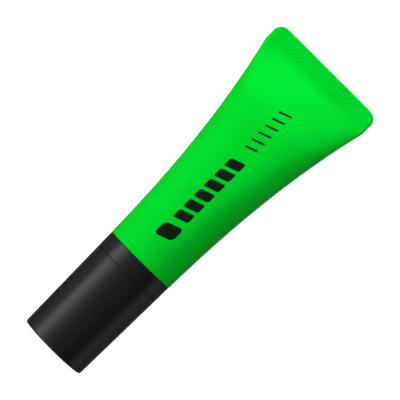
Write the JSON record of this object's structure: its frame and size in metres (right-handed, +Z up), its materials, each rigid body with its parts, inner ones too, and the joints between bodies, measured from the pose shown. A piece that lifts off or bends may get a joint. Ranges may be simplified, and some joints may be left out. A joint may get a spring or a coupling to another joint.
{
  "type": "highlighter pen",
  "caption": "Capped highlighter shaped like a squeeze tube, with a chisel felt nib, a push-on cap with an inner seal and a flat crimped tail.",
  "frame": {"origin": "on the surface that the pen lies on, below the middle of its length and width", "axes": "+X along the pen's axis from the cap to the tail, +Y across the flat tail, +Z up, through the thin side of the tail"},
  "size_m": [0.11, 0.0384, 0.0225],
  "materials": {
    "black_plastic": "satin",
    "green_plastic": "satin",
    "dark_ink": "satin",
    "green_felt": "matte",
    "inked_fibre": "matte",
    "clear_film": "gloss",
    "natural_plastic": "satin"
  },
  "bodies": {
    "pen": {"front_section": "black_plastic", "nib": "green_felt", "reservoir_core": "inked_fibre", "reservoir_film": "clear_film", "inner_barrel": "natural_plastic", "barrel_plug": "natural_plastic", "tube_shell": "green_plastic"},
    "cap": {"cap_shell": "black_plastic", "cap_inner_seal": "natural_plastic"}
  },
  "joints": [
    {"name": "cap_pull", "type": "slide", "parent": "pen", "child": "cap", "axis": [-1, 0, 0], "range_m": [0, 0.04]}
  ]
}
